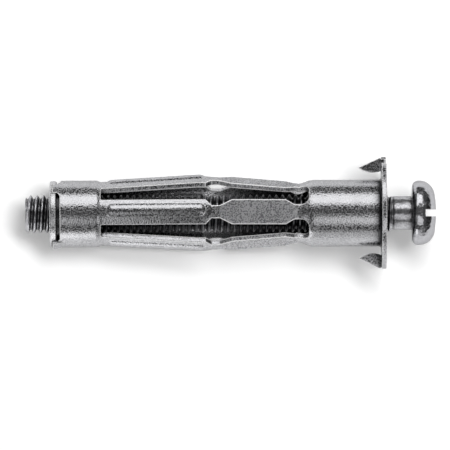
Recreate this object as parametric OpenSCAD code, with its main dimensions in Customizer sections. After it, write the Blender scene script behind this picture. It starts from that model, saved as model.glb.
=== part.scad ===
// Hollow wall anchor for a panel with a cavity behind it: a slotted steel sleeve with a
// clawed collar, a threaded bush locked into its far end, and a slotted machine screw.
// Each piece is drawn standing on the wall: z = 0 is the plane where the collar bears on
// the panel, +z runs into the cavity and -z out to the screw's head. The finished piece
// is then laid along X, head towards +X. Angles are taken round the axis from +Z to +Y.

/* [Sleeve] */
// Thickness of the sheet that the sleeve is made of
sheet = 0.75; // [0.5:0.05:0.95]
// Outer diameter of the plain tube at both ends
tube_d = 10.35; // [9.8:0.05:12]
// Depth from the panel's face to the front ends of the slots
neck_l = 11.2; // [8:0.1:16]
// Length of the plain tube behind the slots
tail_l = 6.3; // [5:0.1:9]
// Radius of the inner corner between tube and collar
corner_r = 0.45; // [0.2:0.05:0.8]
// Rounding of the sleeve's mouth
mouth_r = 0.5; // [0.2:0.05:0.7]

/* [Collar] */
// Diameter of the collar
collar_d = 17.3; // [16.6:0.1:22]
// Rounding of the collar's rim
rim_r = 0.1; // [0.05:0.01:0.12]

/* [Claws] */
// Number of claws
claw_count = 2; // [1:1:4]
// Direction of the first claw
claw_turn = 90; // [0:1:180]
// Distance from the collar's rim to the outer end of a claw's root
claw_inset = 0.05; // [0.05:0.05:0.4]
// Width of a claw at its root
claw_w = 2.1; // [1.6:0.05:2.2]
// How much further out than its root's inner end a claw's point stands
claw_lean = 0.55; // [0.2:0.05:0.9]
// Step at the outer end of a claw's root, which keeps the fold clear of the rim
claw_step = 0.2; // [0.2:0.05:0.4]
// Reach of a claw into the panel
claw_l = 3.6; // [2.6:0.1:3.8]
// How far a claw's inner edge bellies out towards the axis
claw_belly = 0.5; // [0.3:0.05:0.7]
// Inner radius of the fold at a claw's root
claw_fold_r = 0.2; // [0.1:0.05:0.3]
// Gap that the shear leaves round a claw's blank
shear_gap = 0.15; // [0.05:0.05:0.25]

/* [Legs] */
// Number of legs
leg_count = 5; // [4:1:6]
// Direction of the first leg
leg_turn = 3; // [0:1:72]
// Width of a leg
leg_w = 3.85; // [3.2:0.05:4.2]
// Length of the slots between the legs
slot_l = 32.2; // [29:0.1:40]
// Outer diameter at the pinch where the legs leave the neck
pinch_d = 9.1; // [8.9:0.05:9.6]
// Outer diameter at the crease where the legs leave the tail
crease_d = 9.9; // [9.6:0.05:10.1]
// Outer diameter where the two straight runs of a leg would meet
elbow_d = 11.7; // [10.8:0.05:12.6]
// Depth from the front ends of the slots to the elbow
elbow_at = 16.8; // [15.5:0.1:18]
// Bending radius of the elbow
elbow_r = 12; // [6:1:18]
// How far a leg's front half sinks where it is pressed flat
flat_drop = 0.05; // [0.03:0.01:0.1]
// Distance in front of the slots where the tube starts to taper to the pinch
shoulder_lead = 0.7; // [0.4:0.1:1.2]
// Distance behind the slots' front ends to the pinch
pinch_at = 1.9; // [1.2:0.1:2.1]
// Distance behind the slots where the tube regains its diameter
crease_l = 0.75; // [0.4:0.05:1.2]
// Radius of the rounded front ends of the slots
slot_front_r = 1.3; // [0.6:0.05:1.5]
// Radius of the corners at the rear ends of the slots
slot_rear_r = 0.25; // [0.1:0.05:0.5]

/* [Waists] */
// Width of a leg at its front root
root_waist_w = 2.3; // [1.8:0.05:2.8]
// Depth from the slots' front ends to the end of the root waist
root_waist_end = 2.25; // [1.9:0.05:2.8]
// Length over which a leg widens behind the root waist
root_ramp_l = 1.4; // [0.8:0.1:2.5]
// Width of a leg at its elbow
elbow_waist_w = 2; // [1.6:0.05:2.6]
// Depth from the front ends of the slots to the middle of the elbow waist
elbow_waist_at = 14.4; // [13.6:0.1:15.2]
// Length of the elbow waist
elbow_waist_l = 1.3; // [0.8:0.1:2]
// Length of the waist's slope on the collar's side
elbow_ramp_front = 1.85; // [1:0.05:2.5]
// Length of the waist's slope on the nut's side
elbow_ramp_rear = 0.95; // [0.6:0.05:1.5]

/* [Beads] */
// Width of the stiffening bead pressed into a leg's rear half
bead_w = 1.85; // [1.2:0.05:2.4]
// Height of the bead
bead_h = 0.3; // [0.2:0.02:0.36]
// Depth from the elbow waist's middle to the bead's rounded front end
bead_front = 1.65; // [1.2:0.05:3]
// Turn of the beads round the axis, away from the middles of the legs
bead_turn = 3.2; // [0:0.2:4]
// Length left plain between the bead and the rear ends of the slots
bead_rear = 0.95; // [0.5:0.05:3]

/* [Nut] */
// Length of the nut's body inside the sleeve
nut_body_l = 5.4; // [4:0.1:5.5]
// Thickness of the nut's ring
nut_ring_t = 1.05; // [0.8:0.05:1.6]
// Outer diameter of the nut's ring
nut_ring_d = 10.2; // [9.8:0.05:10.4]
// Rounding of the ring's edges
nut_edge_r = 0.3; // [0.1:0.05:0.35]
// Gap between the sleeve's rear lip and the ring
nut_gap = 0.55; // [0.2:0.05:0.8]
// Clearance round the nut's body, on the radius
nut_clearance = 0.05; // [0.03:0.01:0.15]
// Number of tongues on the sleeve that lock the nut
tongue_count = 3; // [2:1:4]
// Direction of the first tongue
tongue_turn = 52; // [0:1:120]
// Width of a tongue at its end
tongue_w = 2.2; // [1.6:0.1:2.6]
// Slope of a tongue's sides, as added width at its root
tongue_flare = 1.1; // [0.4:0.1:1.6]
// How far a tongue reaches into its notch in the ring
tongue_reach = 0.6; // [0.3:0.05:0.7]
// Clearance round a tongue in its notch
tongue_clearance = 0.08; // [0.05:0.01:0.15]
// Outward tilt of the last tongue, which stands proud of the tube
tongue_lift = 15; // [5:1:20]

/* [Screw] */
// Outer diameter of the thread
thread_d = 5.8; // [5.4:0.05:6]
// Diameter at the root of the thread
root_d = 4.8; // [4.4:0.05:5]
// Pitch of the thread
pitch = 1; // [0.7:0.05:1.25]
// Radial clearance between the thread and the nut's bore
thread_clearance = 0.05; // [0.04:0.01:0.1]
// Diameter of the plain shank under the head
shank_d = 5.2; // [4.5:0.05:5.3]
// Length of the plain shank under the head
shank_l = 2.7; // [1:0.1:3.8]
// Length of the screw under its head
screw_l = 59.8; // [57:0.1:70]
// Length of the chamfer at the screw's end
tip_l = 0.7; // [0.3:0.1:1.2]
// Gap between the collar and the head
head_gap = 4; // [1:0.1:5]
// Diameter of the head
head_d = 10; // [9.4:0.1:12]
// Height of the head
head_h = 3.75; // [3.6:0.05:4.5]
// Rounding between the head's underside and its side
head_under_r = 0.93; // [0.3:0.01:1.1]
// Rounding between the head's side and its crown
head_side_r = 2.4; // [1.5:0.05:2.45]
// Rise of the crown above that rounding
crown_h = 0.22; // [0.1:0.01:0.4]
// Width of the driver slot
slot_w = 1.02; // [0.8:0.02:1.6]
// Depth of the driver slot
slot_depth = 1.73; // [1.2:0.01:2]

/* [Hidden] */
$fn = 96;
arc_steps = 6;
lap = 0.3;
tube_r = tube_d / 2;
bore_r = tube_r - sheet;
collar_r = collar_d / 2;
leg_pitch = 360 / leg_count;
slot_end = neck_l + slot_l;
lip = slot_end + tail_l;
elbow_z = neck_l + elbow_at;
waist_z = neck_l + elbow_waist_at;
// the shoulders that lead from the tube down to the pinch and the crease
pinch_r = pinch_d / 2;
crease_r = crease_d / 2;
shoulder_front = neck_l - shoulder_lead;
pinch_z = neck_l + pinch_at;
shoulder_rear = slot_end + crease_l;
crease_z = slot_end - slot_rear_r / 2;
// the two straight runs of a leg, as slopes of the radius along the depth
front_rise = (elbow_d / 2 - pinch_r) / (elbow_z - pinch_z);
rear_fall = (elbow_d / 2 - crease_r) / (crease_z - elbow_z);
elbow_reach = elbow_r * tan((atan(front_rise) + atan(rear_fall)) / 2);
root_flat_z = pinch_z + lap / 3;
bead_r = (bead_w * bead_w / 4 + bead_h * bead_h) / (2 * bead_h);
// a claw's root and point, and its fold: where the bend begins and the sheet that it takes up
claw_root_out = collar_r - claw_inset;
claw_root_in = claw_root_out - claw_w;
claw_tip = claw_root_in + claw_lean;
fold_v = claw_fold_r + sheet / 2;
fold_l = PI / 2 * (claw_fold_r + sheet / 2);
nut_r = bore_r - nut_clearance;
ring_z = lip + nut_gap;
tongue_neck = lip + nut_gap * 0.75;
tongue_end = ring_z + tongue_reach;
raised_t = sheet * 0.8;
thread_r = thread_d / 2;
root_r = root_d / 2;
shank_r = shank_d / 2;
under_z = -sheet - head_gap;
tip_z = under_z + screw_l;
STEEL = [0.80, 0.80, 0.82];
BRIGHT = [0.88, 0.88, 0.90];
DULL = [0.70, 0.70, 0.72];

// ---------- shared outlines ----------

// points on an arc, centre (cx, cy), from angle a0 to angle a1
function arc(cx, cy, r, a0, a1, steps = arc_steps) =
    [for (i = [0 : steps]) let (a = a0 + (a1 - a0) * i / steps) [cx + r * cos(a), cy + r * sin(a)]];

// a smooth step in radius from (r0, z0) to (r1, z1), level at both ends
function ease(r0, z0, r1, z1, steps = 8) =
    [for (i = [0 : steps]) let (t = i / steps) [r0 + (r1 - r0) * (1 - cos(180 * t)) / 2, z0 + (z1 - z0) * t]];

// radius of a leg's outer face at a depth between pinch and crease
function run_r(z) = z < elbow_z
    ? pinch_r + (z - pinch_z) * front_rise
    : crease_r + (crease_z - z) * rear_fall;

// the bend at the elbow: a circular arc that the two straight runs leave as tangents
function elbow_bend(drop) =
    let (a0 = atan(front_rise), a1 = -atan(rear_fall),
         z0 = elbow_z - elbow_reach * cos(a0), r0 = run_r(z0) - drop,
         cz = z0 + (elbow_r - drop) * sin(a0), cr = r0 - (elbow_r - drop) * cos(a0))
    [for (i = [0 : arc_steps]) let (a = a0 + (a1 - a0) * i / arc_steps)
        [cr + (elbow_r - drop) * cos(a), cz - (elbow_r - drop) * sin(a)]];

// lays a piece that stands on the wall plane along X, with the cavity towards -X
module laid() rotate([0, -90, 0]) children();

// ---------- sleeve ----------

// outline of the sheet from the collar's rim to the tongues' ends, outside down and inside up
function sleeve_outline() = concat(
    arc(collar_r - rim_r, -sheet + rim_r, rim_r, -90, 0, 3),
    arc(collar_r - rim_r, -rim_r, rim_r, 0, 90, 3),
    arc(tube_r + corner_r, corner_r, corner_r, 270, 180),
    ease(tube_r, shoulder_front, pinch_r, pinch_z),
    elbow_bend(0),
    ease(crease_r, crease_z, tube_r, shoulder_rear, 6),
    [[tube_r, tongue_end], [bore_r, tongue_end]],
    ease(bore_r, shoulder_rear, crease_r - sheet, crease_z, 6),
    [for (i = [arc_steps : -1 : 0]) elbow_bend(sheet)[i]],
    ease(pinch_r - sheet, pinch_z, bore_r, shoulder_front),
    arc(bore_r + mouth_r, -sheet + mouth_r, mouth_r, 180, 270));

// the whole sheet before anything is cut from it
module sleeve_shell() rotate_extrude($fn = 96) polygon(sleeve_outline());

// one edge of a leg along the depth: front fillet, root waist, elbow waist, rear fillet
function leg_edge() =
    let (w = leg_w / 2, rw = root_waist_w / 2, ew = elbow_waist_w / 2,
         e0 = waist_z - elbow_waist_l / 2, e1 = waist_z + elbow_waist_l / 2)
    concat(
        [[neck_l - 1, rw + 2 * slot_front_r]],
        arc(neck_l + slot_front_r, rw + slot_front_r, slot_front_r, 190, 270),
        [[neck_l + root_waist_end, rw], [neck_l + root_waist_end + root_ramp_l, w],
         [e0 - elbow_ramp_front, w], [e0, ew], [e1, ew], [e1 + elbow_ramp_rear, w]],
        arc(slot_end - slot_rear_r, w + slot_rear_r, slot_rear_r, 270, 350, 3),
        [[slot_end + 1, w + 2 * slot_rear_r]]);

// a leg's blank, seen from outside, as a plate through the sleeve's wall
module leg_blank() {
    edge = leg_edge();
    mirrored = [for (i = [len(edge) - 1 : -1 : 0]) [edge[i][0], -edge[i][1]]];
    translate([bore_r / 2, 0, 0]) rotate([90, 0, 90]) linear_extrude(height = tube_d)
        polygon([for (p = concat(edge, mirrored)) [p[1], p[0]]]);
}

module each_leg() for (i = [0 : leg_count - 1]) rotate(leg_turn + i * leg_pitch) children();

// everything between the legs, from the front ends of the slots to the rear ones
module slots() difference() {
    translate([0, 0, neck_l]) cylinder(h = slot_l, r = tube_d);
    each_leg() leg_blank();
}

// the front half of a leg, pressed flat between the root waist and the elbow waist
module flat_run() {
    z0 = root_flat_z - lap;
    z1 = waist_z + lap;
    r0 = run_r(z0) - flat_drop;
    r1 = run_r(z1) - flat_drop;
    intersection() {
        leg_blank();
        rotate([90, 0, 0]) linear_extrude(height = leg_w + 1, center = true)
            polygon([[r0, z0], [r1, z1], [r1 - sheet, z1], [r0 - sheet, z0]]);
    }
}

// a long body with ball ends, which swells the sheet into a bead or hollows it behind
module bead_body(r, length) rotate_extrude($fn = 48)
    polygon(concat([[0, -r]], arc(0, 0, r, -80, 0, 7), arc(0, length, r, 0, 80, 7), [[0, length + r]]));

// the bead lies parallel to a leg's rear run; half its width is its rounded end
module bead(r) {
    z0 = waist_z + bead_front + bead_w / 2;
    z1 = slot_end - bead_rear - bead_w / 2;
    rotate(bead_turn) translate([run_r(z0) - bead_r + bead_h, 0, z0]) rotate([0, -atan(rear_fall), 0])
        bead_body(r, z1 - z0);
}

// a core that reaches half way through the sheet, to keep the beads out of the bore
module bead_core() {
    z0 = waist_z + lap;
    z1 = crease_z;
    rotate_extrude($fn = 96) polygon(
        [[0, z0], [run_r(z0) - sheet / 2, z0], [run_r(z1) - sheet / 2, z1], [0, z1]]);
}

// one of the tongues at the rear lip that are pressed into the nut's ring
module tongue_blank(grow) {
    w0 = tongue_w + tongue_flare + 2 * grow;
    w1 = tongue_w + 2 * grow;
    translate([bore_r / 2, 0, 0]) rotate([90, 0, 90]) linear_extrude(height = tube_d) polygon([
        [-w0 / 2, lip - 1], [-w0 / 2, lip], [-w1 / 2, tongue_neck], [-w1 / 2, tongue_end + grow],
        [w1 / 2, tongue_end + grow], [w1 / 2, tongue_neck], [w0 / 2, lip], [w0 / 2, lip - 1]]);
}

module each_tongue() for (i = [0 : tongue_count - 1]) rotate(tongue_turn + i * 360 / tongue_count) children();

// what is trimmed off the rear lip between the tongues
module lip_trim() difference() {
    translate([0, 0, lip]) cylinder(h = tongue_end, r = tube_d);
    each_tongue() tongue_blank(0);
}

// the last tongue stands a little proud of the tube
module raised_tongue() rotate(tongue_turn + (tongue_count - 1) * 360 / tongue_count)
    translate([tube_r, 0, lip - lap]) rotate([0, tongue_lift, 0])
        translate([-raised_t, -tongue_w / 2, 0]) cube([raised_t, tongue_w, tongue_end - lip + lap]);

// ---------- claws ----------

// a claw's inner edge: an arc that bellies out between its root and its point
function claw_back(steps = 8) =
    let (dx = claw_tip - claw_root_in, chord = sqrt(dx * dx + claw_l * claw_l),
         r = (chord * chord / 4 + claw_belly * claw_belly) / (2 * claw_belly),
         lean = atan(dx / claw_l), half = asin(chord / 2 / r),
         cx = (claw_root_in + claw_tip) / 2 + (r - claw_belly) * cos(lean),
         cz = claw_l / 2 - (r - claw_belly) * sin(lean))
    arc(cx, cz, r, 180 - lean + half, 180 - lean - half, steps);

// depth along the blank, measured from the fold, for a height on the folded claw
function flat_v(z) = fold_v - fold_l - max(z - claw_fold_r, -fold_l);

// the sheet bent from the collar's plane into the claw's plane, seen end on
module claw_bend() polygon(concat(
    [[fold_v + lap, -sheet]],
    arc(fold_v, claw_fold_r, claw_fold_r + sheet, 270, 180),
    [[fold_v - claw_fold_r - sheet, claw_l + 1], [fold_v - claw_fold_r, claw_l + 1]],
    arc(fold_v, claw_fold_r, claw_fold_r, 180, 270),
    [[fold_v + lap, 0]]));

// a claw, folded up along a radial line
module claw() intersection() {
    rotate([90, 0, 90]) linear_extrude(height = collar_d) claw_bend();
    rotate([90, 0, 0]) linear_extrude(height = 4 * sheet, center = true) polygon(concat(
        [[claw_root_in, -2 * sheet]], claw_back(),
        [[claw_root_out, claw_fold_r], [claw_root_out - claw_step, 0], [claw_root_out - claw_step, -2 * sheet]]));
}

// the opening that the claw's blank leaves in the collar, open to the rim; beside the fold it is
// relieved as far in as the claw's belly, so that nothing stands over the seat
module claw_gap() {
    back = claw_back();
    relief = min([for (p = back) p[0]]);
    relief_v = min([for (p = back) if (p[0] < relief + 0.01) flat_v(p[1])]);
    translate([0, 0, -2 * sheet]) linear_extrude(height = 4 * sheet) polygon(concat(
        [[relief - shear_gap, fold_v], [relief - shear_gap, relief_v]],
        [for (p = back) if (flat_v(p[1]) < relief_v) [p[0] - shear_gap, flat_v(p[1])]],
        [[claw_tip, flat_v(claw_l) - shear_gap], [collar_d, flat_v(claw_l) - shear_gap], [collar_d, fold_v]]));
}

module each_claw() for (i = [0 : claw_count - 1]) rotate(claw_turn + i * 360 / claw_count) children();

// the sleeve: one piece of sheet, slotted, beaded, bowed and folded
module sleeve() color(STEEL) laid() difference() {
    union() {
        difference() {
            sleeve_shell();
            slots();
            lip_trim();
            translate([0, 0, root_flat_z]) cylinder(h = waist_z - root_flat_z, r = tube_d);
            each_claw() claw_gap();
        }
        each_leg() flat_run();
        each_leg() difference() {
            bead(bead_r);
            bead_core();
        }
        each_claw() claw();
        raised_tongue();
    }
    each_leg() bead(bead_r - sheet);
}

// ---------- nut ----------

// outline of the turned bush: body, ring and the bore's two chamfers
module nut_outline() {
    bore = thread_r + thread_clearance;
    body_z = lip - nut_body_l;
    end_z = ring_z + nut_ring_t;
    ring_r = nut_ring_d / 2;
    polygon(concat(
        [[bore + nut_edge_r, body_z], [nut_r - nut_edge_r, body_z], [nut_r, body_z + nut_edge_r],
         [nut_r, ring_z], [ring_r - nut_edge_r / 2, ring_z], [ring_r, ring_z + nut_edge_r / 2]],
        arc(ring_r - nut_edge_r, end_z - nut_edge_r, nut_edge_r, 0, 90, 5),
        [[bore + nut_edge_r, end_z], [bore, end_z - nut_edge_r], [bore, body_z + nut_edge_r]]));
}

// the notch that a tongue lies in: through the ring's edge and a little into the body
module nut_notch() intersection() {
    tongue_blank(tongue_clearance);
    rotate_extrude($fn = 96) translate([nut_r - tongue_clearance, ring_z - tongue_clearance])
        square([tube_r, nut_ring_t]);
}

// the nut: a threaded bush whose ring has a notch for each of the sleeve's tongues
module nut() color(BRIGHT) laid() difference() {
    rotate_extrude($fn = 96) nut_outline();
    each_tongue() nut_notch();
}

// ---------- screw ----------

// one groove and ridge of the thread in section, from depth z to one pitch deeper
function ridge(z) = [
    [thread_r, z + pitch], [root_r, z + pitch * 11 / 16], [root_r, z + pitch * 7 / 16], [thread_r, z + pitch / 8]];

// outline of the screw from its end to the crown of its head, with its thread as plain rings
module screw_outline() {
    side_z = under_z - head_h + crown_h;
    flat_r = head_d / 2 - head_side_r;
    crown_r = (flat_r * flat_r + crown_h * crown_h) / (2 * crown_h);
    crown_a = asin(flat_r / crown_r);
    thread_end = under_z + shank_l;
    runout = thread_r - shank_r;
    turns = floor((tip_z - tip_l - thread_end - runout) / pitch);
    polygon(concat(
        [[0, tip_z], [thread_r - tip_l, tip_z], [thread_r, tip_z - tip_l]],
        [for (i = [turns - 1 : -1 : 0]) each ridge(thread_end + runout + i * pitch)],
        [[thread_r, thread_end + runout], [shank_r, thread_end], [shank_r, under_z]],
        arc(head_d / 2 - head_under_r, under_z - head_under_r, head_under_r, 90, 0),
        arc(flat_r, side_z + head_side_r, head_side_r, 0, -90, 10),
        [for (i = [5 : -1 : 0]) let (a = crown_a * i / 6)
            [crown_r * sin(a), under_z - head_h + crown_r * (1 - cos(a))]]));
}

// the screw, with one straight driver slot
module screw() color(DULL) laid() difference() {
    rotate_extrude($fn = 96) screw_outline();
    translate([-head_d, -slot_w / 2, under_z - head_h - 1]) cube([2 * head_d, slot_w, slot_depth + 1]);
}

sleeve();
nut();
screw();
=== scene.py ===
"""A hollow wall anchor lying on its side, in metres. x runs along the anchor's axis and points out of the
wall, and z is up."""

import math
import bpy
import numpy as np
from mathutils import Matrix, Vector


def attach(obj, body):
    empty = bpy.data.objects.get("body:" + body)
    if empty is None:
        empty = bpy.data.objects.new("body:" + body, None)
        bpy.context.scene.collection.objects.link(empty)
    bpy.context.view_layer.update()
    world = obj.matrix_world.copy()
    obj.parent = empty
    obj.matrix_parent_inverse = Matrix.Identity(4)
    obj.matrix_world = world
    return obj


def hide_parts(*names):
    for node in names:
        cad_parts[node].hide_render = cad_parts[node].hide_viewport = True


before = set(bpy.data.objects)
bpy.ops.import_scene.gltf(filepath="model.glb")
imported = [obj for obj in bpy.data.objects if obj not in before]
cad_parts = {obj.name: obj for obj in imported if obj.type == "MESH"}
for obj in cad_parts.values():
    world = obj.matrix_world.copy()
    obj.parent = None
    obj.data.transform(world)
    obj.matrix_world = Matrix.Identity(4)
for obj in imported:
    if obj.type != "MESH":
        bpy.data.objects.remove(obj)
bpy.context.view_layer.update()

# ---------------------------------------------------------------------------------------------
# Sleeve: one piece of thin steel sheet rolled into a tube, slotted into five legs, flanged into
# a collar with two claws, and zinc plated all over. The front halves of its legs were pressed flat between
# matte dies, and the plating has a fine grain. Its sheared edges are rounded, with a painted highlight along
# them; its hollows and the collar's inner corner carry painted shade, and the pressed halves a painted
# lighter tone.
# ---------------------------------------------------------------------------------------------


def node(tree, kind, **inputs):
    """Adds a shader node. A key such as scale or base_color sets the socket of that name, and i2 the third
    one, to a value or from another node's socket. A key that starts with set_ is a property of the node."""
    made = tree.nodes.new(kind)
    for key, value in inputs.items():
        if key.startswith("set_"):
            setattr(made, key[4:], value)
            continue
        words = key.replace("_", " ").lower()
        socket = made.inputs[int(key[1:])] if key[1:].isdigit() else next(
            s for s in made.inputs if s.name.lower() == words and s.enabled)
        if isinstance(value, bpy.types.NodeSocket):
            tree.links.new(value, socket)
        else:
            socket.default_value = value
    return made


def math_step(tree, operation, *values):
    """One step of arithmetic, such as MULTIPLY, on numbers or sockets."""
    inputs = {f"i{place}": value for place, value in enumerate(values)}
    return node(tree, "ShaderNodeMath", set_operation=operation, **inputs).outputs[0]


def spread(tree, value, low, high, to_low, to_high):
    """A straight line from (low, to_low) to (high, to_high), level beyond both ends."""
    return node(tree, "ShaderNodeMapRange", value=value, from_min=low, from_max=high,
                to_min=to_low, to_max=to_high).outputs[0]


def between(tree, value, start, stop, fade):
    """1 from start to stop and 0 outside, with a ramp that reaches fade to each side of both."""
    enter = spread(tree, value, start - fade, start + fade, 0.0, 1.0)
    leave = spread(tree, value, stop - fade, stop + fade, 1.0, 0.0)
    return math_step(tree, "MULTIPLY", enter, leave)


def blended(tree, factor, below, above):
    """The colour below where factor is 0, and the colour above where it is 1."""
    return node(tree, "ShaderNodeMix", set_data_type="RGBA", factor=factor, i6=below, i7=above).outputs[2]


def speckle(tree, place, size, detail=0.0, roughness=0.5):
    """A noise between 0 and 1 with features about size metres wide."""
    return node(tree, "ShaderNodeTexNoise", vector=place, scale=1 / size,
                detail=detail, roughness=roughness).outputs[0]


def air_above(tree, distance):
    """The share of the hemisphere over a point that meets nothing within distance metres."""
    return node(tree, "ShaderNodeAmbientOcclusion", distance=distance, set_samples=12).outputs["AO"]


def outside_fold_shade(tree, x, y, z, fold_x, fold_r, blur_x=0.00015, blur_r=0.0002):
    """0 in the ring past fold_x and inside the radius fold_r about the axis, and 1 elsewhere. The ring is the
    collar's inner corner, which gets painted shade.
    """
    across = node(tree, "ShaderNodeCombineXYZ", y=y, z=z).outputs[0]
    radius = node(tree, "ShaderNodeVectorMath", i0=across, set_operation="LENGTH").outputs["Value"]
    before = spread(tree, x, fold_x - blur_x, fold_x + blur_x, 1.0, 0.0)
    outside = spread(tree, radius, fold_r - blur_r, fold_r + blur_r, 0.0, 1.0)
    return math_step(tree, "MAXIMUM", before, outside)


def plated_steel(name, light, dark, smooth, rough, grain, depth, edge, recess=0.0025, shut=0.33,
                 open_at=0.85, corner=0.0009, dents=0.0, matte=None, fold_shade=None):
    """Zinc plating, from noises on the object's own coordinates, with all lengths in metres. A grain of that
    size raises the surface by depth. Finer specks spread the roughness from smooth to rough, and with broad
    patches they mix the light and the dark tone. Painted shade sinks the tone to near black where less than
    shut of the air above a point is open within recess, and the tone is full from open_at; hollow corners get
    painted shade within corner. Sheared edges are rounded over edge, and a painted highlight colours them
    pale and dull.
    dents is the height of the knocks from tumbling. matte = (x0, x1, roughness) gives the length that is left
    matte, where the specks are stronger and the tone is lighter, which is painted light. fold = (x, r) gives
    the painted shade in the inner corner past x that reaches out to the radius r."""
    patch_size, speck_size, dent_size = grain / 0.12, grain / 1.35, 1 / 900
    squeeze = (1.6, 1.0, 1.0)                        # the grain is shorter along the tube than across it
    speck_range, tone_range = (0.45, 0.57), (0.54, 0.80)    # nearly all of the noises' values lie here
    patch_weight = 0.35                              # of the patches in the tone, against 1 for the specks
    plain_swing, matte_swing = 0.5, 1.5              # how far the tone swings between dark and light
    # the lighter middle of the tone on the matte length is painted light
    plain_middle, matte_painted_light_middle = 0.5, 0.72           # where the tone's middle lies between the two
    matte_fade = 0.0004
    edge_turn = (0.91, 0.99)                         # cosine between the rounded and the true surface
    edge_air, corner_air = (0.70, 0.90), (0.58, 0.82)       # open air over an edge, and in a hollow corner
    # the pale, dull colour of the rounded edges is a painted highlight
    edge_highlight_roughness, edge_highlight_tone, edge_highlight_metal = 0.6, (0.95, 0.95, 0.95, 1), 0.15
    painted_shade_factor, least_open, least_corner = 0.12, 0.05, 0.06       # what is left of the tone in the painted shade of hollows and of corners

    made = bpy.data.materials.new(name)
    made.use_nodes = True
    tree = made.node_tree
    tree.nodes.clear()
    place = node(tree, "ShaderNodeTexCoord").outputs["Object"]
    squeezed = node(tree, "ShaderNodeMapping", vector=place, scale=squeeze).outputs[0]
    fine = speckle(tree, squeezed, grain, detail=1.0, roughness=0.4)
    patch = speckle(tree, place, patch_size, detail=4.0, roughness=0.6)
    speck = speckle(tree, place, speck_size)
    gloss = spread(tree, speck, *speck_range, smooth, rough)
    x, y, z = node(tree, "ShaderNodeSeparateXYZ", vector=place).outputs
    swing, middle = plain_swing, plain_middle
    if matte:
        pressed = between(tree, x, matte[0], matte[1], matte_fade)
        gloss = node(tree, "ShaderNodeMix", factor=pressed, a=gloss, b=matte[2]).outputs[0]
        # the matte length's lighter tone is painted light; its roughness is the real finish
        swing = spread(tree, pressed, 0.0, 1.0, plain_swing, matte_swing)
        middle = spread(tree, pressed, 0.0, 1.0, plain_middle, matte_painted_light_middle)
    mixed = math_step(tree, "MULTIPLY_ADD", patch, patch_weight, speck)
    around = spread(tree, mixed, *tone_range, -0.5, 0.5)
    tone = blended(tree, math_step(tree, "MULTIPLY_ADD", around, swing, middle), (*dark, 1), (*light, 1))

    rounded = node(tree, "ShaderNodeBevel", radius=edge, set_samples=8).outputs[0]
    face = node(tree, "ShaderNodeNewGeometry").outputs["Normal"]
    turn = node(tree, "ShaderNodeVectorMath", set_operation="DOT_PRODUCT", i0=rounded,
                i1=face).outputs["Value"]
    open_air = air_above(tree, recess)
    # painted highlight: rounded edges under open air are painted pale and dull
    edge_highlight = math_step(tree, "MULTIPLY", spread(tree, turn, *edge_turn, 1.0, 0.0),
                       spread(tree, open_air, *edge_air, 0.0, 1.0))
    gloss = node(tree, "ShaderNodeMix", factor=edge_highlight, a=gloss, b=edge_highlight_roughness).outputs[0]
    tone = blended(tree, edge_highlight, tone, edge_highlight_tone)

    # painted shade: the tone sinks towards near black in hollows and hollow corners, where little of the air
    # above is open
    near_air = air_above(tree, corner)
    unshaded = math_step(tree, "MULTIPLY", spread(tree, open_air, shut, open_at, least_open, 1.0),
                      spread(tree, near_air, *corner_air, least_corner, 1.0))
    # painted shade in the collar's inner corner
    if fold_shade:
        unshaded = math_step(tree, "MULTIPLY", unshaded, outside_fold_shade(tree, x, y, z, *fold_shade))
    tone = blended(tree, unshaded, (*[part * painted_shade_factor for part in dark], 1), tone)

    normal = node(tree, "ShaderNodeBump", height=fine, distance=depth, strength=1.0,
                  normal=rounded).outputs[0]
    if dents:
        knocks = speckle(tree, place, dent_size, detail=1.0)
        normal = node(tree, "ShaderNodeBump", height=knocks, distance=dents, strength=1.0,
                      normal=normal).outputs[0]
    metal = spread(tree, edge_highlight, 0.0, 1.0, 1.0, edge_highlight_metal)
    shader = node(tree, "ShaderNodeBsdfPrincipled", base_color=tone, metallic=metal, roughness=gloss,
                  normal=normal, specular_tint=(0.6, 0.6, 0.6, 1))
    tree.links.new(shader.outputs[0], node(tree, "ShaderNodeOutputMaterial").inputs[0])
    return made


def dress(cad_node, material):
    """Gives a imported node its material."""
    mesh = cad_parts[cad_node].data
    mesh.materials.clear()
    mesh.materials.append(material)


# the sleeve's hollows and the collar's inner corner get painted shade, its edges a painted highlight, and its
# pressed length a painted lighter tone
dress("sleeve", plated_steel("sleeve_zinc", light=(0.66, 0.66, 0.675), dark=(0.29, 0.29, 0.305), smooth=0.08,
                             rough=0.37, grain=0.00029, depth=0.000038, edge=0.00034, shut=0.50,
                             corner=0.0012, matte=(-0.0250, -0.0130, 0.60), fold_shade=(-0.00048, 0.0061)))

# ---------------------------------------------------------------------------------------------
# Nut: a turned steel bush with an M6 thread, pushed into the sleeve's far end up to its ring.
# The sleeve's tongues hold it from turning. Its ring is zinc plated and a little dull.
# ---------------------------------------------------------------------------------------------

# the nut's hollows get painted shade, and its edges a painted highlight
dress("nut", plated_steel("nut_zinc", light=(0.86, 0.86, 0.87), dark=(0.42, 0.42, 0.44), smooth=0.22,
                          rough=0.46, grain=0.00022, depth=0.000035, edge=0.00015))

# ---------------------------------------------------------------------------------------------
# Screw: an M6 machine screw, headed cold from wire with its thread rolled on after. The thread
# runs from the end almost to the head, where a short plain shank is left. A straight slot is
# sawn across the domed head.
# ---------------------------------------------------------------------------------------------

# the screw's sizes are in millimetres until its mesh is made
MM = 0.001
pitch = 1.0
crest_r, root_r, shank_r = 2.9, 2.39, 2.6
screw_end, thread_stop, head_seat = -55.05, 2.05, 4.75
end_chamfer = 0.35
head_r, head_height, crown_rise = 5.0, 3.749, 0.22
head_under_r, head_side_r = 0.93, 2.4
slot_width, slot_depth = 1.02, 1.73
head_top = head_seat + head_height


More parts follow.
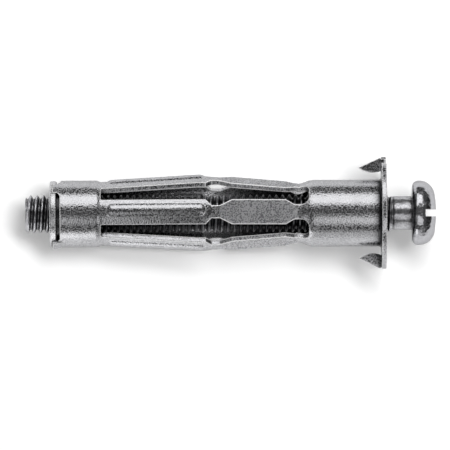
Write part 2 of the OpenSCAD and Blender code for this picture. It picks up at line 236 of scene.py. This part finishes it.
def turned(profile, name):
    """A closed surface of revolution about x: point (x, r) of the profile at the angle a is
    (x, r sin a, r cos a). The profile gives x for each row, and r for each row and spoke. A fan closes each
    end on the axis."""
    x, r = profile
    rows, spokes = r.shape
    angle = np.arange(spokes) * 2 * np.pi / spokes
    grid = np.stack([np.broadcast_to(x[:, None], r.shape), r * np.sin(angle), r * np.cos(angle)], -1)
    points = np.concatenate([grid.reshape(-1, 3), [[x[0], 0, 0], [x[-1], 0, 0]]])
    row, spoke = np.meshgrid(np.arange(rows - 1), np.arange(spokes), indexing="ij")
    after = (spoke + 1) % spokes
    quads = np.stack([row * spokes + spoke, (row + 1) * spokes + spoke,
                      (row + 1) * spokes + after, row * spokes + after], -1).reshape(-1, 4)
    ring, last = np.arange(spokes), (rows - 1) * spokes
    following = (ring + 1) % spokes
    start = np.stack([np.full(spokes, len(points) - 2), ring, following], -1)
    finish = np.stack([np.full(spokes, len(points) - 1), last + following, last + ring], -1)
    mesh = bpy.data.meshes.new(name)
    mesh.from_pydata(points * MM, [], quads.tolist() + start.tolist() + finish.tolist())
    mesh.polygons.foreach_set("use_smooth", np.ones(len(mesh.polygons), bool))
    mesh.update()
    return mesh


def thread_height(turns, land=0.16, ease=0.45):
    """The thread's section over one pitch, 0 at the root and 1 at the crest. It is a triangle wave cut off by
    land at its top and at its foot, which leaves a flat crest and a flat root, and its flanks are eased by
    the share ease."""
    wave = 1 - np.abs(2 * (turns % 1.0) - 1)
    flank = np.clip((wave - land) / (1 - 2 * land), 0, 1)
    return flank * flank * (3 - 2 * flank) * ease + flank * (1 - ease)


def screw_shape(spokes, steps=14):
    """x for each row and r for each row and spoke. Along the thread
    r = core + (crest - core) * height(x / pitch - a / 2 pi), which winds left-handed, under a cone at the end
    and a run-out at the shank. The head is an arc below, an arc at its side and a crown that rises as a
    parabola, on a small cone that widens the shank. steps is the number of rows for each turn."""
    run_out, run_out_gap, core_rise = 0.5, 0.35, 1.0
    neck_cone, gap, pole_r = 0.12, 0.02, 0.02
    turn = np.arange(spokes) / spokes
    x = np.linspace(screw_end, thread_stop, int((thread_stop - screw_end) / pitch * steps) + 1)
    ridge = thread_height(x[:, None] / pitch - turn[None, :])
    fade = np.clip((thread_stop - run_out_gap - x) / run_out, 0, 1)[:, None]
    core = root_r + (shank_r - root_r) * np.clip((x - thread_stop + core_rise) / core_rise, 0, 1)[:, None]
    r = core + (crest_r - core) * ridge * fade
    r = np.minimum(r, (crest_r - end_chamfer + (x - screw_end))[:, None])

    under, side = np.linspace(0, np.pi / 2, 8), np.linspace(0, np.pi / 2, 14)
    crown = np.linspace(0, 1, 7)[1:]
    flat_r = head_r - head_side_r
    head_x = np.concatenate([[thread_stop + gap, head_seat - neck_cone, head_seat],
                             head_seat + head_under_r * (1 - np.cos(under)),
                             head_top - crown_rise - head_side_r * (1 - np.sin(side)),
                             head_top - crown_rise * (1 - crown) ** 2])
    head_radius = np.concatenate([[shank_r, shank_r, shank_r + neck_cone],
                                  head_r - head_under_r * (1 - np.sin(under)),
                                  flat_r + head_side_r * np.cos(side),
                                  flat_r * (1 - crown) + pole_r])
    return np.concatenate([x, head_x]), np.concatenate([r, np.repeat(head_radius[:, None], spokes, 1)])


screw = bpy.data.objects.new("slotted_screw", turned(screw_shape(spokes=64), "slotted_screw"))
bpy.context.scene.collection.objects.link(screw)

# the saw's cut: a block through the head, taken away from the blank and then dropped
saw_half_length = 2.0
saw_corners = np.array([[-1, -1, -1], [1, -1, -1], [1, 1, -1], [-1, 1, -1],
                        [-1, -1, 1], [1, -1, 1], [1, 1, 1], [-1, 1, 1]])
saw_middle = np.array([head_top - slot_depth + saw_half_length, 0, 0])
saw_mesh = bpy.data.meshes.new("saw_cut")
saw_mesh.from_pydata((saw_middle + saw_corners * [saw_half_length, slot_width / 2, 2 * head_r]) * MM, [],
                     [(0, 3, 2, 1), (4, 5, 6, 7), (0, 1, 5, 4), (1, 2, 6, 5), (2, 3, 7, 6), (3, 0, 4, 7)])
saw = bpy.data.objects.new("saw_cut", saw_mesh)
bpy.context.scene.collection.objects.link(saw)
sawn = screw.modifiers.new("saw", "BOOLEAN")
sawn.operation, sawn.solver, sawn.object = "DIFFERENCE", "EXACT", saw
bpy.context.view_layer.update()
cut = bpy.data.meshes.new_from_object(screw.evaluated_get(bpy.context.evaluated_depsgraph_get()))
screw.modifiers.clear()
screw.data = cut
bpy.data.objects.remove(saw)
cut.name = "slotted_screw"
cut.materials.clear()
# the screw's hollows get painted shade, most of all its thread inside the sleeve; its edges get a painted
# highlight, and its thread and shank a painted lighter tone
cut.materials.append(plated_steel("screw_zinc", light=(0.60, 0.60, 0.62), dark=(0.36, 0.36, 0.38),
                                  smooth=0.14, rough=0.26, grain=0.00023, depth=0.000016, edge=0.00012,
                                  recess=0.0035, shut=0.40, open_at=0.80, corner=0.0005, dents=0.00016,
                                  matte=(-0.0560, 0.0046, 0.29)))
cut.set_sharp_from_angle(angle=math.radians(40))
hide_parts("screw")
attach(screw, "screw")

# ---------------------------------------------------------------------------------------------
# Table: the anchor lies on a plain white table, on the collar's rim and on its far end, so the
# table's plane touches both and falls towards the collar by about four degrees from the axis.
# ---------------------------------------------------------------------------------------------

collar_rim = Vector((0.0006, 0, -0.00865))
tail_touch = Vector((-0.0513, 0, -0.0051))
table_half, table_gap = 3.0, 0.00001
table_colour, table_roughness, table_sheen, seen_lift = (0.9, 0.9, 0.9, 1), 0.8, 0.1, 0.20


def seen_by(tree, *rays):
    """1 for a ray of one of the kinds named, such as Is Camera Ray, and 0 for any other."""
    path = node(tree, "ShaderNodeLightPath").outputs
    seen = path[rays[0]]
    for ray in rays[1:]:
        seen = math_step(tree, "MAXIMUM", seen, path[ray])
    return seen


slope = (collar_rim - tail_touch).normalized()
table_corners = [collar_rim + slope * along * table_half + Vector((0, across * table_half, -table_gap))
                 for along, across in ((-1, -1), (1, -1), (1, 1), (-1, 1))]
table_mesh = bpy.data.meshes.new("table")
table_mesh.from_pydata([tuple(corner) for corner in table_corners], [], [(0, 1, 2, 3)])
table = bpy.data.objects.new("table", table_mesh)
bpy.context.scene.collection.objects.link(table)
paint = bpy.data.materials.new("white_table")
paint.use_nodes = True
coat = paint.node_tree.nodes["Principled BSDF"].inputs
coat["Base Color"].default_value = table_colour
coat["Roughness"].default_value = table_roughness
coat["Specular IOR Level"].default_value = table_sheen
coat["Emission Color"].default_value = (1, 1, 1, 1)
seen = seen_by(paint.node_tree, "Is Camera Ray", "Is Glossy Ray")
paint.node_tree.links.new(math_step(paint.node_tree, "MULTIPLY", seen, seen_lift), coat["Emission Strength"])
table_mesh.materials.append(paint)

# ---------------------------------------------------------------------------------------------
# Studio: a half-round tent of dark felt with a panel on its far side and one on its near side.
# Cards hang close over the collar's tube and the tail, a bright one stands beside the tail and a
# black one behind the anchor. The metal shows them, and a lamp lights the table alone.
# ---------------------------------------------------------------------------------------------

MIDDLE_X, FLOOR_Z = -0.024, -0.0125
TENT_R, TENT_HALF = 0.5, 0.6
PANEL_R, PANEL_X = 0.49, (-0.26, 0.22)
FELT_LEVEL, DARK_LEVEL = 0.10, 0.02


def hang(name, points, faces, level, blocks=False):
    """A sheet of the studio that glows at level. The camera looks through it, and it throws no light on the
    table. Only one that blocks casts a shadow."""
    mesh = bpy.data.meshes.new(name)
    mesh.from_pydata(points, [], np.asarray(faces).tolist())
    made = bpy.data.objects.new(name, mesh)
    bpy.context.scene.collection.objects.link(made)
    glow = bpy.data.materials.new(name)
    glow.use_nodes = True
    glow.node_tree.nodes.clear()
    light = node(glow.node_tree, "ShaderNodeEmission", color=(1, 1, 1, 1), strength=level)
    glow.node_tree.links.new(light.outputs[0], node(glow.node_tree, "ShaderNodeOutputMaterial").inputs[0])
    mesh.materials.append(glow)
    made.visible_camera = made.visible_diffuse = False
    made.visible_shadow = blocks


def panel(name, start, stop, x_range, radius, level, steps=24, blocks=False):
    """A curved sheet: an arc of the given radius from start to stop, in degrees off the zenith towards +y,
    drawn out along x."""
    angle = np.radians(np.linspace(start, stop, steps + 1))
    arc = np.stack([np.zeros(steps + 1), radius * np.sin(angle), radius * np.cos(angle) + FLOOR_Z], -1)
    i = np.arange(steps)
    hang(name, np.concatenate([arc + [x, 0, 0] for x in x_range]),
         np.stack([i, i + steps + 1, i + steps + 2, i + 1], -1), level, blocks)


def end_wall(name, x, level, half_turn=91, steps=32):
    """A half-round sheet that closes the tent at x: a fan of triangles about the middle of its foot."""
    angle = np.radians(np.linspace(-half_turn, half_turn, steps + 1))
    rim = np.stack([np.full(steps + 1, x), TENT_R * np.sin(angle), TENT_R * np.cos(angle) + FLOOR_Z], -1)
    i = np.arange(steps)
    hang(name, np.concatenate([rim, [[x, 0, FLOOR_Z]]]),
         np.stack([np.full(steps, steps + 1), i, i + 1], -1), level, blocks=True)


panel("felt", -91, 91, (MIDDLE_X - TENT_HALF, MIDDLE_X + TENT_HALF), TENT_R, FELT_LEVEL, blocks=True)
end_wall("left_felt", MIDDLE_X - TENT_HALF, FELT_LEVEL)
end_wall("right_felt", MIDDLE_X + TENT_HALF, DARK_LEVEL)
panel("far_panel", 29, 69, PANEL_X, PANEL_R, level=1.8)
panel("collar_card", -32, -9, (-0.0135, 0.030), radius=0.07, level=1.15)
panel("tail_card", -31, -10, (-0.080, -0.047), radius=0.07, level=1.0)
panel("near_panel", -91, -64, PANEL_X, PANEL_R, level=0.7)
panel("tail_wall", -88, -64, (-0.110, -0.036), radius=0.13, level=2.0)
black_from, black_to, black_y, black_top = -0.14, 0.09, 0.045, 0.002
hang("black_card", [(black_from, black_y, FLOOR_Z), (black_to, black_y, FLOOR_Z),
                    (black_to, black_y, black_top), (black_from, black_y, black_top)],
     [(0, 1, 2, 3)], DARK_LEVEL)

lamp = bpy.data.lights.new("table_lamp", "AREA")
lamp.shape, lamp.size, lamp.size_y, lamp.energy = "RECTANGLE", 0.28, 0.13, 1.65
table_lamp = bpy.data.objects.new("table_lamp", lamp)
bpy.context.scene.collection.objects.link(table_lamp)
lamp_from, lamp_to = Vector((MIDDLE_X + 0.12, 0.12, 0.43)), Vector((MIDDLE_X, 0, 0))
aim = (lamp_to - lamp_from).to_track_quat("-Z", "Y").to_matrix().to_4x4()
table_lamp.matrix_world = Matrix.Translation(lamp_from) @ aim
table_lamp.visible_glossy = False

room_light, room_seen = 0.35, 1.0
world = bpy.data.worlds.new("white_room")
bpy.context.scene.world = world
world.use_nodes = True
world.node_tree.nodes.clear()
seen = seen_by(world.node_tree, "Is Camera Ray", "Is Glossy Ray", "Is Transmission Ray")
level = spread(world.node_tree, seen, 0, 1, room_light, room_seen)
sky = node(world.node_tree, "ShaderNodeBackground", color=(1, 1, 1, 1), strength=level)
world.node_tree.links.new(sky.outputs[0], node(world.node_tree, "ShaderNodeOutputWorld").inputs[0])

# ---------------------------------------------------------------------------------------------
# Camera: a long lens straight above the anchor.
# ---------------------------------------------------------------------------------------------

picture_px, px_per_mm = 450, 6.46
view_width = picture_px / px_per_mm * MM
camera_x, camera_y, distance = -0.0242, -0.00178, 1.2
roll = math.radians(-0.2)
lens = bpy.data.cameras.new("camera")
lens.sensor_width = 36
lens.lens = lens.sensor_width * distance / view_width
lens.clip_start, lens.clip_end = 0.05, 20
camera = bpy.data.objects.new("camera", lens)
bpy.context.scene.collection.objects.link(camera)
camera.matrix_world = Matrix.Translation((camera_x, camera_y, distance)) @ Matrix.Rotation(roll, 4, "Z")
bpy.context.scene.camera = camera
bpy.context.scene.view_settings.view_transform = "Standard"
